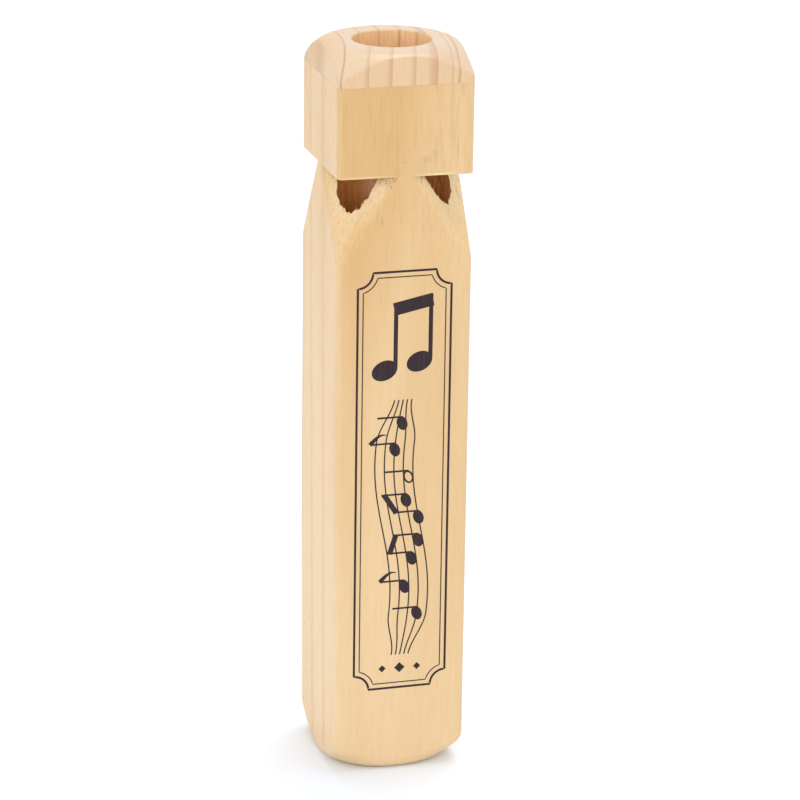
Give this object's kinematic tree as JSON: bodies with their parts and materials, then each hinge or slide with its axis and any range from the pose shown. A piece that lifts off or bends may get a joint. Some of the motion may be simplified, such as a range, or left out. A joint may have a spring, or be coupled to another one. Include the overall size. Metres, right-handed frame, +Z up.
{
  "type": "train whistle",
  "caption": "Wooden train whistle: square block with drilled tone bores, corner sound windows, inner fipple plugs and a glued domed mouthpiece cap with a round mouth bore.",
  "frame": {"origin": "centre of the foot, on the surface that the whistle stands on", "axes": "+Z up along the block towards the mouth, front face with the print towards -Y, +X to the right of the front face"},
  "size_m": [0.0378, 0.0378, 0.205],
  "materials": {
    "pine_block": "sanded bare pine, long grain",
    "pine_cap": "sanded bare pine with broad growth rings",
    "plug_dowel": "raw dowel"
  },
  "bodies": {
    "root": {"body_block": "pine_block", "mouthpiece_cap": "pine_cap", "fipple_plug_front_left": "plug_dowel", "fipple_plug_front_right": "plug_dowel", "fipple_plug_back_left": "plug_dowel", "fipple_plug_back_right": "plug_dowel"}
  },
  "joints": []
}
